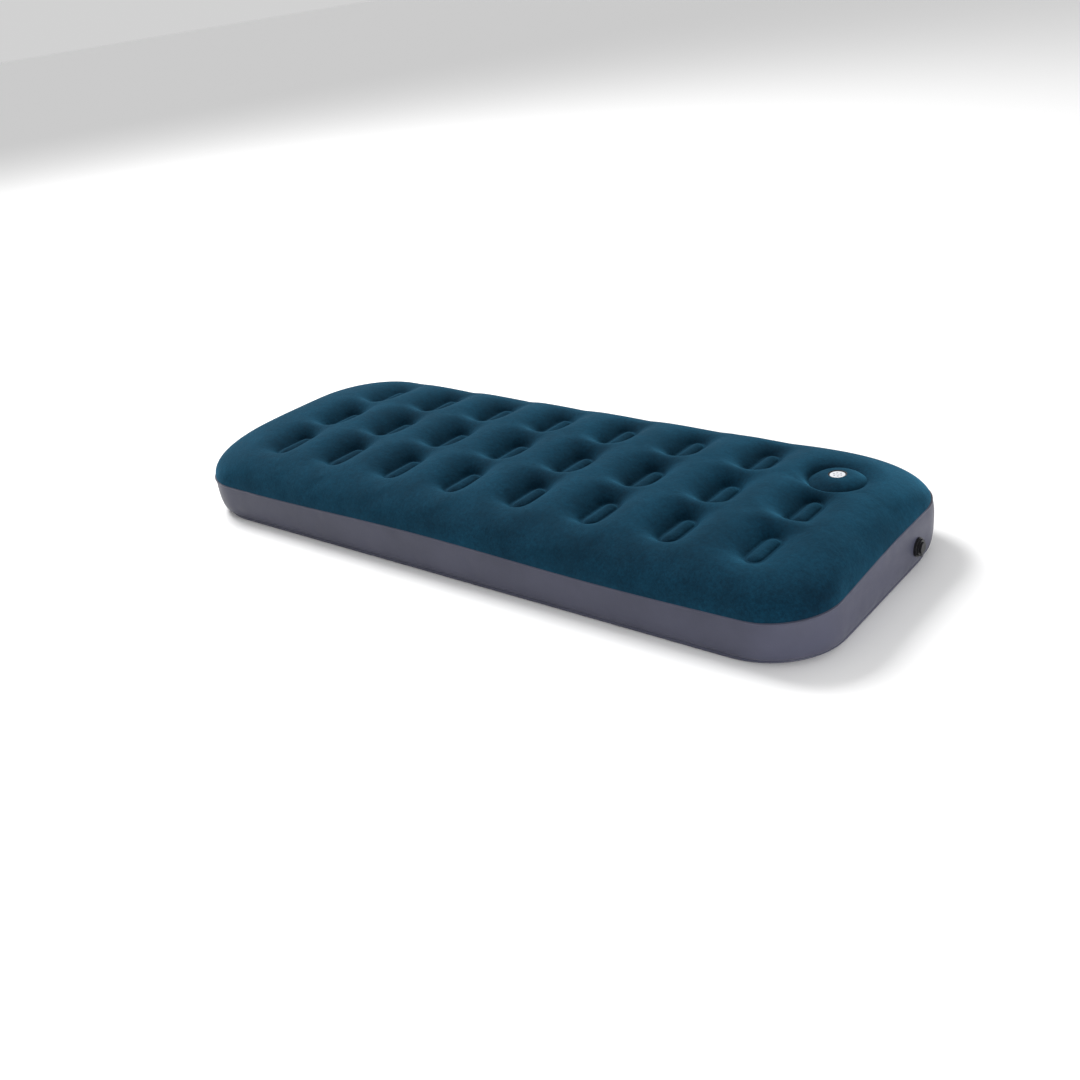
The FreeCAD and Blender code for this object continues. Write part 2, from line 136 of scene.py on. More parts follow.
SETTLE_FRAMES = 20
SOFTEN_STEPS = 13
SOFTEN_SHARE = 0.6
# how far the air may move a point of the sheet: in the field of dimples, and at the rolled edge
FIELD_CAP = 0.005
EDGE_CAP = 0.0011
# the field starts this far in from the outline, and the limits turn over these widths
FIELD_START = 0.05
FIELD_TURN = 0.08
WELD_TURN = 0.012
AT_WELD = 0.0004


def beam_boxes():
    """(low, high) of each coil beam, keyed by its place (column, row) in the grid."""
    places = [(column, row) for row in range(ROWS) for column in range(COLUMNS)
              if (column, row) != PUMP_PLACE]
    return {place: tuple(np.array(corner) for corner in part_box(f"coil_beam_{number:02d}"))
            for number, place in enumerate(places, start=1)}


BEAMS = beam_boxes()
COLUMN_X = [float((BEAMS[column, 0][0][0] + BEAMS[column, 0][1][0]) / 2) for column in range(COLUMNS)]
ROW_Y = [float((BEAMS[0, row][0][1] + BEAMS[0, row][1][1]) / 2) for row in range(ROWS)]
COLUMN_PITCH = COLUMN_X[1] - COLUMN_X[0]
ROW_PITCH = ROW_Y[1] - ROW_Y[0]
PAD_TOP = float(BEAMS[0, 0][1][2])
PAD_FOOT = float(BEAMS[0, 0][0][2])
PAD_WIDTH = float(BEAMS[0, 0][1][0] - BEAMS[0, 0][0][0]) + 2 * BEAM_GAP
PAD_LENGTH = float(BEAMS[0, 0][1][1] - BEAMS[0, 0][0][1]) + 2 * BEAM_GAP


# ---------------------------------------------------------------- the inflated outline
def inset_from_outline(x, y):
    """Distance in plan from points inside the bed to its outline.

    Lines of equal inset are rounded rectangles whose corners grow rounder further in,
    so the corners of the bed are lower than its sides."""
    to_end = HALF_LENGTH - np.abs(x)
    to_side = HALF_WIDTH - np.abs(y)
    inset = np.minimum(to_end, to_side)
    for _ in range(12):
        radius = np.minimum(CORNER_RADIUS + CORNER_GROWTH * np.maximum(inset, 0), HALF_WIDTH)
        corner = radius - np.hypot(np.maximum(radius - to_end, 0), np.maximum(radius - to_side, 0))
        in_corner = (radius > to_end) | (radius > to_side)
        closer = np.where(in_corner, corner, np.minimum(to_end, to_side))
        inset = (inset + closer) / 2
    return np.maximum(inset, 0)


def crown_height(x, y):
    """Height of the undimpled top over points of the plan."""
    reach = 1 - np.minimum(inset_from_outline(x, y) / CROWN_ROLL, 1)
    return WIDEST + (CREST - WIDEST) * (1 - reach ** CROWN_POWER) ** (1 / CROWN_POWER)


def oval_distance(x, y, centre, width, length):
    """Distance in plan from points to an upright oval, negative inside it."""
    radius = width / 2
    beyond = np.maximum(np.abs(y - centre[1]) - (length / 2 - radius), 0)
    return np.hypot(x - centre[0], beyond) - radius


def pump_distance(x, y):
    """Distance in plan from points to the edge of the pump, negative inside it."""
    return oval_distance(x, y, PUMP_CENTRE, 2 * PUMP_RADIUS, 2 * PUMP_RADIUS)


def top_height(x, y):
    """Height of the dimpled top over points of the plan, outside the welds."""
    x, y = np.asarray(x, float), np.asarray(y, float)
    crown = crown_height(x, y)
    pull = np.zeros_like(x)
    at_pad = np.zeros_like(x)
    for place in BEAMS:
        centre = (COLUMN_X[place[0]], ROW_Y[place[1]])
        distance = oval_distance(x, y, centre, PAD_WIDTH, PAD_LENGTH)
        pull += np.clip(1 - distance / BOWL_REACH, 0, 1) ** (BOWL_POWER * BOWL_MIX)
        at_pad = np.maximum(at_pad, np.clip(1 - distance / PAD_HOLD, 0, 1) ** 2)
    pull = np.minimum(pull ** (1 / BOWL_MIX), 1)
    height = crown + (PAD_TOP + SKIN_LIFT - crown) * pull
    beyond = np.maximum(pump_distance(x, y), 0)
    near_pump = np.clip(1 - beyond / PUMP_REACH, 0, 1) ** 2 * (1 - at_pad)
    return height + (PUMP_FLOOR + PUMP_LIP_SLOPE * beyond - height) * near_pump


def side_inset(height):
    """How far the outline has drawn in from its widest at a height on the side."""
    if height >= WIDEST:
        share, roll, power = (height - WIDEST) / (CREST - WIDEST), CROWN_ROLL, CROWN_POWER
    else:
        share, roll, power = (WIDEST - height) / WIDEST, BOTTOM_ROLL, BOTTOM_POWER
    return roll * (1 - (1 - min(share, 1) ** power) ** (1 / power))


def outline_point(side, share, inset, growth=CORNER_GROWTH):
    """A point of the rounded outline, drawn in by inset, with its corners grown by growth.

    side counts the four sides anticlockwise from the front; share runs along one side,
    from the middle of one corner's arc to the middle of the next."""
    radius = CORNER_RADIUS + growth * inset
    halves = (HALF_LENGTH - inset - radius, HALF_WIDTH - inset - radius)
    half_run, half_out = halves[side % 2], halves[(side + 1) % 2]
    full_run = (HALF_LENGTH, HALF_WIDTH)[side % 2] - CORNER_RADIUS
    along = (share * 2 - 1) * (full_run + CORNER_RADIUS * math.pi / 4)
    if abs(along) <= full_run:
        local = (along * half_run / full_run, -half_out - radius)
    else:
        angle = (abs(along) - full_run) / CORNER_RADIUS
        local = (math.copysign(half_run + radius * math.sin(angle), along),
                 -half_out - radius * math.cos(angle))
    turn = side * math.pi / 2
    return (local[0] * math.cos(turn) - local[1] * math.sin(turn),
            local[0] * math.sin(turn) + local[1] * math.cos(turn))


def eased(value, start, end):
    """0 before start, 1 after end, with a smooth turn between."""
    share = min(max((value - start) / (end - start), 0), 1)
    return share * share * (3 - 2 * share)


def seam_height(x, y):
    """The seam wanders a little along the sides and rises round the pump end."""
    wave = SEAM_WAVE * math.cos(2 * math.pi * (x + SEAM_WAVE_START) / SEAM_WAVE_LENGTH)
    end = SEAM_END_RISE + SEAM_FAR_RISE * eased(y, -HALF_WIDTH, HALF_WIDTH / 4)
    near_end = eased(x, HALF_LENGTH - SEAM_RISE_START, HALF_LENGTH - SEAM_RISE_END)
    return SEAM - SEAM_SAG + wave + end * near_end


# ---------------------------------------------------------------- one dimple's cell
def oval_loop(centre, width, length):
    """Points round an upright oval, CELL_SIDE to each quarter, from its lower left corner."""
    radius = width / 2
    straight = length / 2 - radius
    arc = radius * math.pi / 4
    points = []
    for index in range(4 * CELL_SIDE):
        side, share = divmod(index / CELL_SIDE, 1)
        if side in (0, 2):
            angle = math.pi * (1.25 + 0.5 * share) + (math.pi if side == 2 else 0)
            x, y = radius * math.cos(angle), radius * math.sin(angle)
            y += -straight if side == 0 else straight
        else:
            along = (share * 2 - 1) * (straight + arc)
            over = max(abs(along) - straight, 0)
            angle = over / radius
            x = radius * math.cos(angle)
            y = math.copysign(min(abs(along), straight) + radius * math.sin(angle), along)
            if side == 3:
                x, y = -x, -y
        points.append((centre[0] + x, centre[1] + y))
    return points


def grid_line_x(index):
    """Where the line before a column of cells crosses the length."""
    return COLUMN_X[0] + (index - 0.5) * COLUMN_PITCH


def grid_line_y(index):
    """Where the line before a row of cells crosses the width."""
    return ROW_Y[0] + (index - 0.5) * ROW_PITCH


def bent_for_pump(x, y):
    """Grid lines give way a little to the pump, which is wider than a pad."""
    line = grid_line_y(ROWS - 1)
    near_line = math.exp(-((y - line) / PUMP_BEND_DEPTH) ** 2)
    near_pump = math.exp(-((x - PUMP_CENTRE[0]) / PUMP_BEND_WIDTH) ** 2)
    return x, y - PUMP_BEND * near_line * near_pump


def cell_loop(column, row):
    """Points round a cell's edge, in the same order as oval_loop."""
    low_x, high_x = grid_line_x(column), grid_line_x(column + 1)
    low_y, high_y = grid_line_y(row), grid_line_y(row + 1)
    corners = [(low_x, low_y), (high_x, low_y), (high_x, high_y), (low_x, high_y)]
    points = []
    for side in range(4):
        start, end = corners[side], corners[(side + 1) % 4]
        for step in range(CELL_SIDE):
            share = step / CELL_SIDE
            points.append(bent_for_pump(start[0] + (end[0] - start[0]) * share,
                                        start[1] + (end[1] - start[1]) * share))
    return points


def patch_inside(loop):
    """Fill a loop of 4 * CELL_SIDE points with a square net (a Coons patch)."""
    count = CELL_SIDE
    bottom = [loop[i] for i in range(count + 1)]
    right = [loop[count + i] for i in range(count + 1)]
    top = [loop[(3 * count - i)] for i in range(count + 1)]
    left = [loop[(4 * count - i) % (4 * count)] for i in range(count + 1)]
    net = np.zeros((count + 1, count + 1, 2))
    for i in range(count + 1):
        for j in range(count + 1):
            u, v = i / count, j / count
            sides = ((1 - v) * np.array(bottom[i]) + v * np.array(top[i])
                     + (1 - u) * np.array(left[j]) + u * np.array(right[j]))
            ends = ((1 - u) * (1 - v) * np.array(bottom[0]) + u * (1 - v) * np.array(bottom[-1])
                    + (1 - u) * v * np.array(top[0]) + u * v * np.array(top[-1]))
            net[i, j] = sides - ends
    return net


def with_heights(points):
    """Points of the plan lifted onto the dimpled top."""
    plan = np.array(points)
    heights = top_height(plan[:, 0], plan[:, 1])
    return [(float(x), float(y), float(z)) for (x, y), z in zip(plan, heights)]


class Net:
    """Collects quads; equal points are merged when the mesh is made."""

    def __init__(self):
        self.points = []
        self.faces = []
        self.zones = []

    def add_grid(self, rows, zone, closed=False):
        """Quads between neighbouring rows of equally many points."""
        count = len(rows[0])
        start = len(self.points)
        for row in rows:
            self.points.extend(row)
        for j in range(len(rows) - 1):
            for i in range(count if closed else count - 1):
                following = (i + 1) % count
                quad = (start + j * count + i, start + j * count + following,
                        start + (j + 1) * count + following, start + (j + 1) * count + i)
                self.faces.append(quad)
                self.zones.append(zone)

    def make(self, name):
        """The net as an object, its equal points merged and its faces turned one way."""
        mesh = bpy.data.meshes.new(name)
        mesh.from_pydata(self.points, [], self.faces)
        attribute = mesh.attributes.new("zone", "INT", "FACE")
        attribute.data.foreach_set("value", self.zones)
        work = bmesh.new()
        work.from_mesh(mesh)
        bmesh.ops.remove_doubles(work, verts=work.verts, dist=MERGE_DISTANCE)
        bmesh.ops.recalc_face_normals(work, faces=work.faces)
        work.to_mesh(mesh)
        work.free()
        thing = bpy.data.objects.new(name, mesh)
        bpy.context.scene.collection.objects.link(thing)
        return thing


ZONE_TOP, ZONE_SIDE, ZONE_BOTTOM = 0, 1, 2


def rings_between(weld, edge, power):
    """Loops from a weld out to its cell's edge, closer together near the weld."""
    loops = []
    for ring in range(CELL_RINGS + 1):
        share = (ring / CELL_RINGS) ** power
        loops.append([(a[0] + (b[0] - a[0]) * share, a[1] + (b[1] - a[1]) * share)
                      for a, b in zip(weld, edge)])
    return loops


def pad_height(depth):
    """The pad inside a weld: a narrow groove, then a plump roll."""
    share = min(max((depth - PAD_GROOVE) / PAD_ROLL, 0), 1)
    return PAD_TOP + SKIN_LIFT + PAD_BULGE * (1 - (1 - share) ** PAD_POWER) ** (1 / PAD_POWER)


def add_pad(net, centre):
    """The raised pad on top of one coil beam: rings in from its weld, then a filled middle."""
    loops = [oval_loop(centre, PAD_WIDTH - 2 * depth, PAD_LENGTH - 2 * depth)
             for depth in PAD_RING_DEPTHS]
    rows = [[(x, y, pad_height(depth)) for x, y in loop]
            for loop, depth in zip(loops, PAD_RING_DEPTHS)]
    net.add_grid(rows[::-1], ZONE_TOP, closed=True)
    patch = patch_inside(loops[-1])
    half = PAD_WIDTH / 2 - PAD_RING_DEPTHS[-1]
    rows = []
    for j in range(CELL_SIDE + 1):
        rows.append([])
        for i in range(CELL_SIDE + 1):
            x, y = patch[i, j]
            across = oval_distance(x, y, centre, 2 * half, PAD_LENGTH - 2 * PAD_RING_DEPTHS[-1])
            rows[-1].append((x, y, pad_height(PAD_RING_DEPTHS[-1] - float(across))))
    net.add_grid(rows, ZONE_TOP)


def add_top_cell(net, column, row):
    """One cell of the flocked top: the bowl round a pad, or round the pump, out to the cell's edge."""
    edge = cell_loop(column, row)
    if (column, row) == PUMP_PLACE:
        weld = oval_loop(PUMP_CENTRE, 2 * PUMP_RADIUS, 2 * PUMP_RADIUS)
    else:
        centre = (COLUMN_X[column], ROW_Y[row])
        weld = oval_loop(centre, PAD_WIDTH, PAD_LENGTH)
        add_pad(net, centre)
    net.add_grid([with_heights(loop) for loop in rings_between(weld, edge, TOP_RING_POWER)],
                 ZONE_TOP, closed=True)


def foot_height(x, y):
    """Height of the underside: flat on the floor, drawn up to the foot of each beam."""
    height = np.zeros_like(np.asarray(x, float))
    for place in BEAMS:
        centre = (COLUMN_X[place[0]], ROW_Y[place[1]])
        distance = np.maximum(oval_distance(x, y, centre, PAD_WIDTH, PAD_LENGTH), 0)
        share = np.clip(1 - distance / FOOT_BOWL_REACH, 0, 1) ** 2
        height = np.maximum(height, (PAD_FOOT - SKIN_LIFT) * share)
    return height


def on_underside(points):
    """Points of the plan placed on the underside."""
    plan = np.array(points)
    heights = foot_height(plan[:, 0], plan[:, 1])
    return [(float(x), float(y), float(z)) for (x, y), z in zip(plan, heights)]


def add_bottom_cell(net, column, row):
    """One cell of the underside, drawn up where a beam has its foot."""
    edge = cell_loop(column, row)
    weld = oval_loop((COLUMN_X[column], ROW_Y[row]), PAD_WIDTH, PAD_LENGTH)
    net.add_grid([on_underside(loop) for loop in rings_between(weld, edge, FOOT_RING_POWER)],
                 ZONE_BOTTOM, closed=True)
    patch = patch_inside(weld)
    rows = [on_underside([patch[i, j] for i in range(CELL_SIDE + 1)]) for j in range(CELL_SIDE + 1)]
    net.add_grid(rows, ZONE_BOTTOM)


def grid_perimeter():
    """(side, share, point) round the whole grid of cells, anticlockwise from the front left."""
    spans = [COLUMNS * CELL_SIDE, ROWS * CELL_SIDE] * 2
    corners = [(grid_line_x(0), grid_line_y(0)), (grid_line_x(COLUMNS), grid_line_y(0)),
               (grid_line_x(COLUMNS), grid_line_y(ROWS)), (grid_line_x(0), grid_line_y(ROWS))]
    result = []
    for side in range(4):
        start, end = corners[side], corners[(side + 1) % 4]
        for step in range(spans[side]):
            share = step / spans[side]
            point = bent_for_pump(start[0] + (end[0] - start[0]) * share,
                                  start[1] + (end[1] - start[1]) * share)
            result.append((side, share, point))
    return result


def edge_columns():
    """(side, share, (x, y) on the grid's edge, height of the seam) round the bed."""
    return [(side, share, point, seam_height(*outline_point(side, share, 0)))
            for side, share, point in grid_perimeter()]


def crown_angle(inset):
    """The angle round the rolled edge at which it has drawn in by inset."""
    return math.acos((1 - min(inset / CROWN_ROLL, 1)) ** (CROWN_POWER / 2))


def at_inset(outer, inner, wanted):
    """The points between outer and inner, in plan, that lie at the wanted insets."""
    low, high = np.zeros(len(outer)), np.ones(len(outer))
    for _ in range(24):
        middle = (low + high) / 2
        place = outer + (inner - outer) * middle[:, None]
        too_far = inset_from_outline(place[:, 0], place[:, 1]) > wanted
        low, high = np.where(too_far, low, middle), np.where(too_far, middle, high)
    return outer + (inner - outer) * low[:, None]


def add_top_border(net):
    """From the edge of the grid of dimples out and down to the seam."""
    columns = edge_columns()
    inner = np.array([point for _, _, point, _ in columns])
    outer = np.array([outline_point(side, share, 0) for side, share, _, _ in columns])
    first = np.array([crown_angle(inset) for inset in inset_from_outline(inner[:, 0], inner[:, 1])])
    last = np.array([crown_angle(side_inset(seam)) for _, _, _, seam in columns])
    rows = [with_heights(inner)]
    for loop in range(1, BORDER_LOOPS):
        angle = first + (last - first) * loop / BORDER_LOOPS
        wanted = CROWN_ROLL * (1 - np.cos(angle) ** (2 / CROWN_POWER))
        rows.append(with_heights(at_inset(outer, inner, wanted)))
    rows.append([(*outline_point(side, share, side_inset(seam)), seam)
                 for side, share, _, seam in columns])
    net.add_grid(rows, ZONE_TOP, closed=True)


def weld_relief(height, seam):
    """How far the band stands proud: a thin lip under the seam, a groove over the floor weld.

    The lip is nothing at the seam itself, so that the band and the flocked top share its points."""
    lip = SEAM_LIP * math.exp(-((height - seam + SEAM_LIP_DROP) / SEAM_LIP_HEIGHT) ** 2)
    lip *= min((seam - height) / SEAM_LIP_START, 1)
    groove = WELD_GROOVE * math.exp(-((height - FLOOR_WELD) / WELD_GROOVE_HEIGHT) ** 2)
    return lip - groove


def band_point(side, share, height, seam):
    """A point of the outline at one height below the seam."""
    growth = CORNER_GROWTH if height > WIDEST else FOOT_GROWTH
    drawn_in = side_inset(height) - weld_relief(height, seam)
    return (*outline_point(side, share, drawn_in, growth), float(height))


def add_side(net):
    """The grey band, from the seam down to the weld near the floor."""
    near_seam = (0, SEAM_LIP_START, 0.0016, 0.0024, 0.0034, 0.0048, 0.008, 0.016)
    near_weld = (0.016, 0.009, 0.005, 0.0025, 0)
    rows = []
    for side, share, _, seam in edge_columns():
        heights = [seam - drop for drop in near_seam]
        heights += list(np.linspace(seam - 0.016, FLOOR_WELD + 0.016, 8)[1:-1])
        heights += [FLOOR_WELD + rise for rise in near_weld]
        rows.append([band_point(side, share, height, seam) for height in heights])
    net.add_grid(list(zip(*rows)), ZONE_SIDE, closed=True)


def add_bottom_border(net):
    """From the weld near the floor, under the edge and in to the grid of dimples."""
    heights = [FLOOR_WELD * share for share in (1, 0.75, 0.5, 0.3, 0.15, 0.05)]
    rows = [[] for _ in range(len(heights) + BOTTOM_LOOPS + 1)]
    for side, share, (x, y), seam in edge_columns():
        for loop, height in enumerate(heights):
            rows[loop].append(band_point(side, share, height, seam))
        edge_x, edge_y = outline_point(side, share, BOTTOM_ROLL, FOOT_GROWTH)
        for loop in range(BOTTOM_LOOPS + 1):
            mix = loop / BOTTOM_LOOPS
            rows[len(heights) + loop].append(
                (edge_x + (x - edge_x) * mix, edge_y + (y - edge_y) * mix, 0.0))
    net.add_grid(rows, ZONE_BOTTOM, closed=True)


def build_skin():
    """The flocked top and the grey band as one membrane, and the underside."""
    upper, under = Net(), Net()
    for column in range(COLUMNS):
        for row in range(ROWS):
            add_top_cell(upper, column, row)
            add_bottom_cell(under, column, row)
    add_top_border(upper)
    add_side(upper)
    add_bottom_border(under)
    return upper.make("membrane"), under.make("underside")


# ---------------------------------------------------------------- settling under air pressure
def vertex_array(mesh):
    """A mesh's points as rows of x, y and z."""
    points = np.empty(len(mesh.vertices) * 3)
    mesh.vertices.foreach_get("co", points)
    return points.reshape(-1, 3)


def held_and_caps(points):
    """Which points a weld holds still, and how far each of the others may move."""
    x, y, z = points.T
    to_weld = pump_distance(x, y)
    for place in BEAMS:
        centre = (COLUMN_X[place[0]], ROW_Y[place[1]])
        to_weld = np.minimum(to_weld, oval_distance(x, y, centre, PAD_WIDTH, PAD_LENGTH))
    held = (z > PAD_TOP) & (to_weld < AT_WELD)
    seam = np.array([seam_height(*place) for place in zip(x, y)])
    held |= np.abs(z - seam) < AT_WELD
    held |= z < FLOOR_WELD + AT_WELD
    inside_field = np.clip((inset_from_outline(x, y) - FIELD_START) / FIELD_TURN, 0, 1)
    caps = EDGE_CAP + (FIELD_CAP - EDGE_CAP) * inside_field
    return held, caps * np.clip(to_weld / WELD_TURN, 0.1, 1)


def settle(membrane):
    """Air pressure swells the free membrane between its welds, with a little slack to crease."""
    points = vertex_array(membrane.data)
    held, caps = held_and_caps(points)
    sheet = bpy.data.objects.new("settling", membrane.data.copy())
    bpy.context.scene.collection.objects.link(sheet)
    group = sheet.vertex_groups.new(name="held")
    group.add([int(index) for index in np.flatnonzero(held)], 1.0, "REPLACE")
    modifier = sheet.modifiers.new("cloth", "CLOTH")
    cloth = modifier.settings
    cloth.quality = 6
    cloth.mass = 0.25
    cloth.air_damping = 4
    cloth.tension_stiffness = 30
    cloth.compression_stiffness = 30
    cloth.shear_stiffness = 12
    cloth.bending_stiffness = 5
    cloth.use_pressure = True
    cloth.uniform_pressure_force = 4
    cloth.vertex_group_mass = "held"
    cloth.shrink_min = -0.006
    cloth.effector_weights.gravity = 0
    modifier.collision_settings.use_collision = False
    modifier.point_cache.frame_start = 1
    modifier.point_cache.frame_end = SETTLE_FRAMES
    scene = bpy.context.scene
    for frame_number in range(1, SETTLE_FRAMES + 1):
        scene.frame_set(frame_number)
    graph = bpy.context.evaluated_depsgraph_get()
    settled = vertex_array(sheet.evaluated_get(graph).data)
    scene.frame_set(1)
    move = settled - points
    length = np.maximum(np.linalg.norm(move, axis=1), 1e-9)
    kept = caps * np.tanh(length / caps) / length
    membrane.data.vertices.foreach_set("co", (points + move * kept[:, None]).ravel())
    membrane.data.update()
    bpy.data.objects.remove(sheet)


def soften(membrane):
    """Evens out the ridges between dimples, away from the welds and the rolled edge."""
    points = vertex_array(membrane.data)
    _, caps = held_and_caps(points)
    share = np.clip((caps - EDGE_CAP) / (FIELD_CAP - EDGE_CAP), 0, 1)[:, None]
    ends = np.empty(len(membrane.data.edges) * 2, dtype=np.int32)
    membrane.data.edges.foreach_get("vertices", ends)
    first, second = ends.reshape(-1, 2).T
    count = np.zeros(len(points))
    np.add.at(count, first, 1)
    np.add.at(count, second, 1)
    for _ in range(SOFTEN_STEPS):
        total = np.zeros_like(points)
        np.add.at(total, first, points[second])
        np.add.at(total, second, points[first])
        points += (total / count[:, None] - points) * share * SOFTEN_SHARE
    membrane.data.vertices.foreach_set("co", points.ravel())
    membrane.data.update()


def press_crease(membrane):
    """A short fold that fades out at both ends."""
    points = vertex_array(membrane.data)
    on_top = points[:, 2] > PAD_TOP
    start, along = np.array(CREASE_START), np.subtract(CREASE_END, CREASE_START)
    share = np.clip((points[:, :2] - start) @ along / (along @ along), 0, 1)
    away = np.linalg.norm(points[:, :2] - start - share[:, None] * along, axis=1)
    fade = np.sin(np.pi * share)
    points[:, 2] -= on_top * CREASE_DEPTH * fade * np.exp(-(away / CREASE_WIDTH) ** 2)
    membrane.data.vertices.foreach_set("co", points.ravel())
    membrane.data.update()


def split_zone(skin, zone, name):
    """A copy of a mesh that keeps only one zone's faces."""
    mesh = skin.data.copy()
    thing = bpy.data.objects.new(name, mesh)
    bpy.context.scene.collection.objects.link(thing)
    work = bmesh.new()
    work.from_mesh(mesh)
    layer = work.faces.layers.int["zone"]
    unwanted = [face for face in work.faces if face[layer] != zone]
    bmesh.ops.delete(work, geom=unwanted, context="FACES")
    work.to_mesh(mesh)
    work.free()
    return thing


def smooth(thing, levels=1):
    """Smooth shading, and a subdivision where levels asks for one."""
    for polygon in thing.data.polygons:
        polygon.use_smooth = True
    if levels:
        modifier = thing.modifiers.new("subdivision", "SUBSURF")
        modifier.levels = levels
        modifier.render_levels = levels


# ---------------------------------------------------------------- the foot pump
def turned(name, profile, centre, segments=96):
    """A surface turned round an upright axis from (radius, height) points."""
    net = Net()
    rows = []
    for radius, height in profile:
        rows.append([(float(centre[0] + radius * math.cos(2 * math.pi * step / segments)),
                      float(centre[1] + radius * math.sin(2 * math.pi * step / segments)),
                      float(height)) for step in range(segments)])
    net.add_grid(rows, 0, closed=True)
    return net.make(name)


def pump_button():
    """The flocked dome under the heel; its edge turned down into the inlet's hole gets the dark rubber
    finish as painted shade of the hole.
    """
    rise = PUMP_TOP - PUMP_FLOOR
    profile = [(PUMP_RADIUS + 0.0006, PUMP_FLOOR - 0.0012)]
    for step in range(17):
        share = (step / 16) ** 1.5
        radius = PUMP_RADIUS + (INLET_HOLE + HOLE_FILLET - PUMP_RADIUS) * share
        profile.append((radius, PUMP_FLOOR + 0.0002 + (rise - 0.0004) * (1 - (1 - share) ** DOME_POWER)))
    for step in range(1, 6):
        angle = math.radians(90 * step / 5)
        profile.append((INLET_HOLE + HOLE_FILLET * (1 - math.sin(angle)),
                        PUMP_TOP - 0.0002 - HOLE_FILLET * (1 - math.cos(angle))))
    lip = INLET_LOW[2] + LIP_ABOVE_FLANGE
    profile += [(INLET_HOLE, lip + 0.0008), (INLET_HOLE - 0.0006, lip), (LIP_RADIUS, lip)]
    button = turned("pump_button", profile, PUMP_CENTRE)
    button.data.materials.append(MATERIALS["flock"])
    # second slot: the dark rubber finish, laid in the inlet's hole as painted shade
    button.data.materials.append(MATERIALS["rubber"])
    # faces down the hole's edge take the second slot: painted shade where the hole's wall lies in shadow
    for face in button.data.polygons:
        from_axis = math.dist(face.center[:2], PUMP_CENTRE)
        face.material_index = int(from_axis < INLET_HOLE + HOLE_FILLET * 0.6)
    return button


def foam_core():
    """The foam that springs the pump back: a thick ring with softly rounded edges."""
    outer = (FOAM_HIGH[0] - FOAM_LOW[0]) / 2
    low, high = FOAM_LOW[2], FOAM_HIGH[2]
    round_off = 0.004
    corners = ((outer - round_off, high - round_off, 90), (outer - round_off, low + round_off, 0),
               (FOAM_BORE + round_off, low + round_off, -90),
               (FOAM_BORE + round_off, high - round_off, 180))
    profile = []
    for radius, height, first in corners:
        for step in range(5):
            angle = math.radians(first - 90 * step / 4)
            profile.append((radius + round_off * math.cos(angle),
                            height + round_off * math.sin(angle)))
        if first == 90:
            profile += [(outer, high + (low - high) * share / 12) for share in range(1, 12)]
        if first == -90:
            profile += [(FOAM_BORE, low + (high - low) * share / 12) for share in range(1, 12)]
    profile.append(profile[0])
    return turned("foam_core", profile, PUMP_CENTRE, 64)


# ---------------------------------------------------------------- materials
class Paint:
    """A new material and the few node steps that the finishes share."""

    def __init__(self, name):
        self.material = bpy.data.materials.new(name)
        self.material.use_nodes = True
        self.nodes = self.material.node_tree.nodes
        self.links = self.material.node_tree.links
        self.shader = self.nodes["Principled BSDF"]
        self.place = self.nodes.new("ShaderNodeTexCoord").outputs["Object"]

    def set(self, **values):
        """Sets inputs of the shader by name."""
        for name, value in values.items():
            self.shader.inputs[name.replace("_", " ")].default_value = value

    def noise(self, scale, detail=3.0, roughness=0.55):
        """Soft clouds, from 0 to 1."""
        node = self.nodes.new("ShaderNodeTexNoise")
        node.inputs["Scale"].default_value = scale
        node.inputs["Detail"].default_value = detail
        node.inputs["Roughness"].default_value = roughness
        self.links.new(self.place, node.inputs["Vector"])
        return node.outputs["Fac"]

    def cells(self, scale):
        """Distance to the nearest of many scattered points."""
        node = self.nodes.new("ShaderNodeTexVoronoi")
        node.inputs["Scale"].default_value = scale
        self.links.new(self.place, node.inputs["Vector"])
        return node.outputs["Distance"]

    def ramp(self, factor, low, high, start=0.35, end=0.65):
        """A colour that turns from low to high."""
        node = self.nodes.new("ShaderNodeValToRGB")
        node.color_ramp.elements[0].position = start
        node.color_ramp.elements[1].position = end
        node.color_ramp.elements[0].color = (*low, 1)
        node.color_ramp.elements[1].color = (*high, 1)
        self.links.new(factor, node.inputs["Fac"])
        return node.outputs["Color"]

    def span(self, factor, low, high):
        """A value stretched from 0 to 1 onto low to high."""
        node = self.nodes.new("ShaderNodeMapRange")
        node.inputs["To Min"].default_value = low
        node.inputs["To Max"].default_value = high
        self.links.new(factor, node.inputs["Value"])
        return node.outputs["Result"]

    def mix(self, first, second, share=0.5, kind="MIX"):
        """Two colours laid over each other."""
        node = self.nodes.new("ShaderNodeMix")
        node.data_type = "RGBA"
        node.blend_type = kind
        node.inputs["Factor"].default_value = share
        self.links.new(first, node.inputs[6])
        self.links.new(second, node.inputs[7])
        return node.outputs[2]

    def bump(self, height, distance, strength=1.0, below=None):
        """Relief from a height, laid over any relief below it."""
        node = self.nodes.new("ShaderNodeBump")
        node.inputs["Distance"].default_value = distance
        node.inputs["Strength"].default_value = strength
        self.links.new(height, node.inputs["Height"])
        if below is not None:
            self.links.new(below, node.inputs["Normal"])
        return node.outputs["Normal"]

    def colour(self, output):
        """Uses a colour as the base colour."""
        self.links.new(output, self.shader.inputs["Base Color"])

    def roughness(self, output):
        """Uses a value as the roughness."""
        self.links.new(output, self.shader.inputs["Roughness"])

    def normal(self, output):
        """Uses relief as the surface normal."""
        self.links.new(output, self.shader.inputs["Normal"])


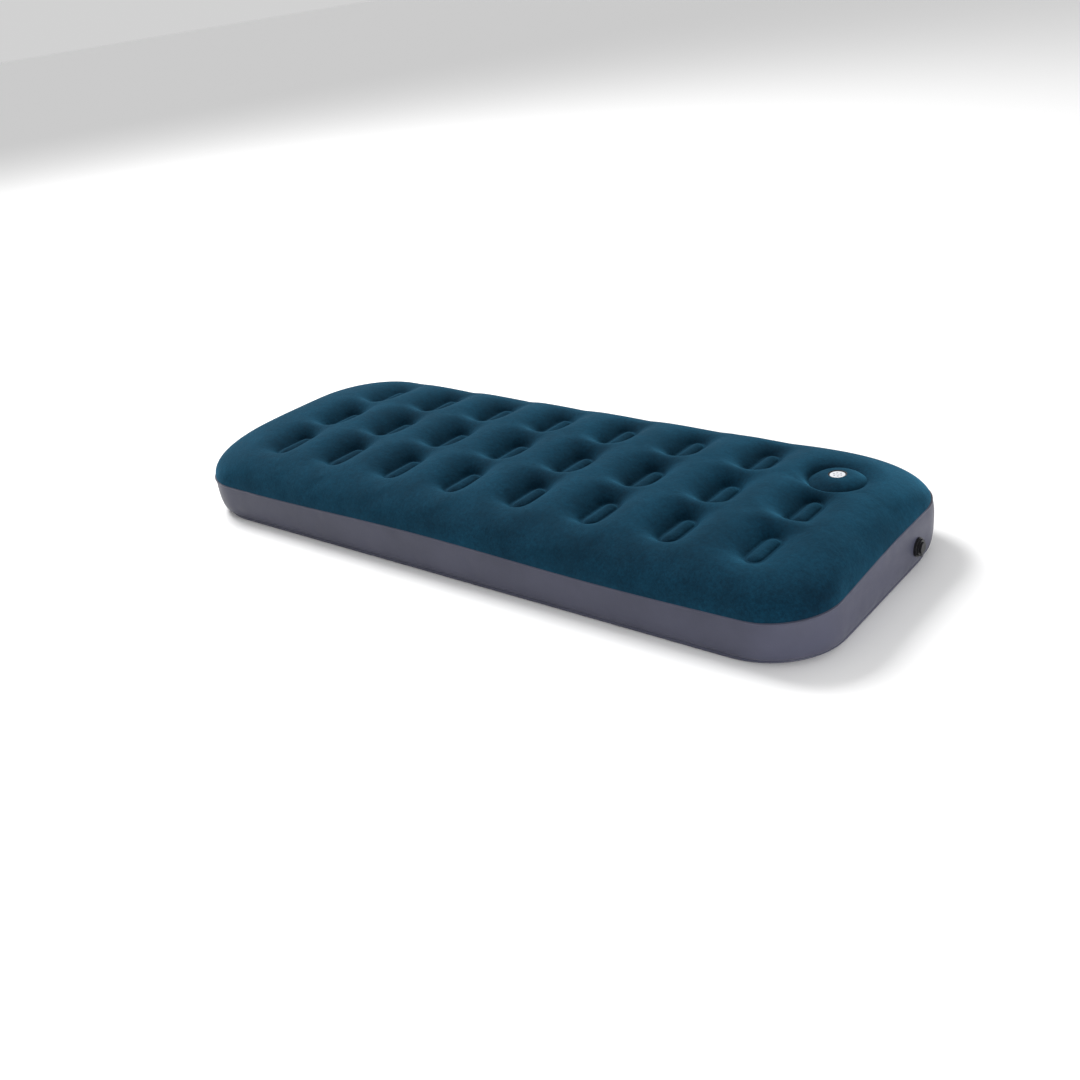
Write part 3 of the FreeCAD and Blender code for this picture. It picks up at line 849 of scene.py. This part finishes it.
def flock_material():
    """Short velvety pile: clouds where the nap lies another way, fine fibres, grazing sheen."""
    paint = Paint("flock")
    clouds = paint.ramp(paint.noise(8.0, 7.0, 0.68), (0.0004, 0.0072, 0.0162), (0.0015, 0.0186, 0.0370))
    tufts = paint.ramp(paint.noise(130.0, 5.0, 0.75), (0.50, 0.58, 0.62), (1.65, 1.50, 1.42), 0.32, 0.68)
    paint.colour(paint.mix(clouds, tufts, 1.0, "MULTIPLY"))
    paint.roughness(paint.span(paint.noise(60.0), 0.82, 0.98))
    dents = paint.bump(paint.noise(22.0, 5.0, 0.6), 0.0030, 0.6)
    strokes = paint.bump(paint.noise(90.0, 4.0, 0.7), 0.0012, 0.5, dents)
    paint.normal(paint.bump(paint.noise(700.0, 2.0, 0.7), 0.0006, 0.5, strokes))
    paint.set(Specular_IOR_Level=0.06, Sheen_Weight=0.29, Sheen_Roughness=0.55,
              Sheen_Tint=(0.09, 0.45, 0.74, 1))
    return paint.material


def grey_material():
    """Smooth satin vinyl with a fine pressed grain."""
    paint = Paint("grey_pvc")
    mottle = paint.ramp(paint.noise(9.0, 4.0), (0.045, 0.047, 0.071), (0.053, 0.055, 0.083))
    grain = paint.ramp(paint.cells(900.0), (0.93, 0.93, 0.93), (1.03, 1.03, 1.03), 0.1, 0.6)
    paint.colour(paint.mix(mottle, grain, 1.0, "MULTIPLY"))
    paint.roughness(paint.span(paint.noise(35.0, 5.0), 0.34, 0.50))
    ripples = paint.bump(paint.noise(14.0, 2.0), 0.0016, 0.35)
    paint.normal(paint.bump(paint.cells(900.0), 0.00012, 0.5, ripples))
    paint.set(Specular_IOR_Level=0.20, Coat_Weight=0.03, Coat_Roughness=0.35)
    return paint.material


def clear_material():
    """Milky translucent vinyl of the inner beams and the weld ring."""
    paint = Paint("clear_pvc")
    paint.colour(paint.ramp(paint.noise(40.0), (0.52, 0.57, 0.60), (0.66, 0.70, 0.72)))
    paint.roughness(paint.span(paint.noise(90.0), 0.22, 0.42))
    paint.normal(paint.bump(paint.noise(55.0), 0.0008, 0.5))
    paint.set(Transmission_Weight=0.35, IOR=1.45)
    return paint.material


def foam_material():
    """Open-cell foam: pores of two sizes in a pale yellow body, its colour darker in the pores as painted
    shade.
    """
    paint = Paint("foam")
    # the colour darkens towards each pore's middle: painted shade in the pores
    paint.colour(paint.ramp(paint.cells(420.0), (0.30, 0.24, 0.12), (0.72, 0.64, 0.42), 0.05, 0.55))
    paint.roughness(paint.span(paint.noise(80.0), 0.88, 1.0))
    large = paint.bump(paint.cells(160.0), 0.0012, 0.7)
    paint.normal(paint.bump(paint.cells(420.0), 0.0008, 0.9, large))
    paint.set(Specular_IOR_Level=0.2)
    return paint.material


def plastic_material(name, low, high, rough_low, rough_high):
    """Moulded plastic with a faint tool texture and handling wear."""
    paint = Paint(name)
    paint.colour(paint.ramp(paint.noise(70.0, 6.0), low, high))
    paint.roughness(paint.span(paint.noise(240.0, 5.0), rough_low, rough_high))
    texture = paint.bump(paint.noise(1500.0, 2.0), 0.00008, 0.6)
    paint.normal(paint.bump(paint.noise(120.0), 0.0002, 0.3, texture))
    paint.set(Specular_IOR_Level=0.35)
    return paint.material


def rubber_and_hole_shade_material():
    """Soft seal rubber with bloom on its surface; on the pump dome it also lines the inlet's hole as
    painted shade.
    """
    paint = Paint("rubber")
    paint.colour(paint.ramp(paint.noise(130.0, 5.0), (0.012, 0.012, 0.013), (0.035, 0.035, 0.038)))
    paint.roughness(paint.span(paint.noise(300.0), 0.6, 0.85))
    paint.normal(paint.bump(paint.noise(800.0), 0.0001, 0.6))
    paint.set(Specular_IOR_Level=0.35)
    return paint.material


# ---------------------------------------------------------------- stage, lights, camera
FLOOR_REACH = 30.0
CAMERA_PLACE = (1.8803, -2.1440, 1.3550)
CAMERA_RIGHT = (0.78219, 0.61189, -0.11738)
CAMERA_BACK = (0.59244, -0.67213, 0.44413)
CAMERA_SENSOR = 36.0
CAMERA_LENS = 40.5


def add_floor():
    """A plain pale floor."""
    mesh = bpy.data.meshes.new("floor")
    reach = FLOOR_REACH
    mesh.from_pydata([(-reach, -reach, 0), (reach, -reach, 0), (reach, reach, 0), (-reach, reach, 0)],
                     [], [(0, 1, 2, 3)])
    floor = bpy.data.objects.new("floor", mesh)
    bpy.context.scene.collection.objects.link(floor)
    paint = Paint("floor")
    paint.set(Base_Color=(0.93, 0.93, 0.93, 1), Roughness=0.8, Specular_IOR_Level=0.2)
    mesh.materials.append(paint.material)


def add_area_light(name, position, target, size, power):
    """A square soft light that faces its target."""
    light = bpy.data.lights.new(name, "AREA")
    light.shape = "SQUARE"
    light.size = size
    light.energy = power
    thing = bpy.data.objects.new(name, light)
    thing.location = position
    direction = Vector(target) - Vector(position)
    thing.rotation_euler = direction.to_track_quat("-Z", "Y").to_euler()
    bpy.context.scene.collection.objects.link(thing)


def add_lights():
    """A bright tent, a strong soft light high up on the left, and a small one by the valve end."""
    world = bpy.data.worlds.new("studio")
    world.use_nodes = True
    background = world.node_tree.nodes["Background"]
    background.inputs["Color"].default_value = (1, 1, 1, 1)
    background.inputs["Strength"].default_value = 0.64
    bpy.context.scene.world = world
    add_area_light("left", (-4.9, 1.4, 6.0), (0, 0, 0.1), 3.2, 640)
    add_area_light("right", (3.3, -1.5, 0.45), (0.8, 0, 0.1), 1.0, 68)


def add_camera():
    """The camera, from its place and the directions of its right hand and its back."""
    data = bpy.data.cameras.new("camera")
    data.sensor_width = CAMERA_SENSOR
    data.lens = CAMERA_LENS
    camera = bpy.data.objects.new("camera", data)
    right = Vector(CAMERA_RIGHT).normalized()
    back = Vector(CAMERA_BACK).normalized()
    up = back.cross(right).normalized()
    right = up.cross(back)
    rotation = Matrix((right, up, back)).transposed().to_4x4()
    camera.matrix_world = Matrix.Translation(CAMERA_PLACE) @ rotation
    bpy.context.scene.collection.objects.link(camera)
    bpy.context.scene.camera = camera


# ---------------------------------------------------------------- put together
def finish_piece(piece, nodes, slot_name, body="root"):
    """Gives a piece the material named by slot_name unless it has two, and a body unless it blends, and
    hides the CAD nodes it stands for.
    """
    if len(piece.data.materials) < 2:
        piece.data.materials.clear()
        piece.data.materials.append(MATERIALS[slot_name])
    if body:
        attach(piece, body)
    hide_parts(*nodes)


def add_skins():
    """The flocked top, the side band and the base sheet."""
    membrane, underside = build_skin()
    settle(membrane)
    soften(membrane)
    press_crease(membrane)
    for source, zone, name, node, slot_name in (
            (membrane, ZONE_TOP, "flocked_top", "top_cover", "flock"),
            (membrane, ZONE_SIDE, "side_band", "side_wall", "grey_pvc"),
            (underside, ZONE_BOTTOM, "base_sheet", "bottom_sheet", "grey_pvc")):
        piece = split_zone(source, zone, name)
        smooth(piece)
        finish_piece(piece, [node], slot_name)
    bpy.data.objects.remove(membrane)
    bpy.data.objects.remove(underside)


def add_pump():
    """The dome and its foam, baked in place with no body of their own."""
    button = pump_button()
    smooth(button)
    finish_piece(button, ["pump_dome"], "flock", body=None)
    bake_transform(button)
    foam = foam_core()
    smooth(foam, levels=0)
    finish_piece(foam, ["pump_foam"], "foam", body=None)
    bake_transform(foam)


def paint_frame_nodes():
    """Better materials for the CAD pieces that keep their own shape."""
    finishes = {name: "clear_pvc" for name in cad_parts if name.startswith("coil_beam")}
    finishes.update({
        "pump_weld_ring": "clear_pvc", "pump_chamber_wall": "clear_pvc",
        "pump_chamber_base": "clear_pvc", "intake_valve_seat": "white_plastic",
        "intake_flap": "rubber", "outlet_valve_body": "white_plastic", "outlet_flap": "rubber",
        "valve_base": "black_plastic", "plug_seal": "rubber", "valve_plug": "black_plastic",
        "valve_cap": "black_plastic", "cap_strap": "black_plastic", "valve_flap": "rubber"})
    for name, slot_name in finishes.items():
        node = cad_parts[name]
        node.data.materials.clear()
        node.data.materials.append(MATERIALS[slot_name])


MATERIALS = {
    "flock": flock_material(),
    "grey_pvc": grey_material(),
    "clear_pvc": clear_material(),
    "foam": foam_material(),
    "white_plastic": plastic_material("white_plastic", (0.62, 0.63, 0.66), (0.72, 0.73, 0.76), 0.3, 0.45),
    "black_plastic": plastic_material("black_plastic", (0.002, 0.002, 0.003), (0.006, 0.006, 0.008),
                                      0.30, 0.46),
    # dark rubber for seals and flaps, also the painted shade in the pump's inlet hole
    "rubber": rubber_and_hole_shade_material(),
}
add_skins()
add_pump()
paint_frame_nodes()
add_floor()
add_lights()
add_camera()
bpy.context.scene.view_settings.view_transform = "Standard"
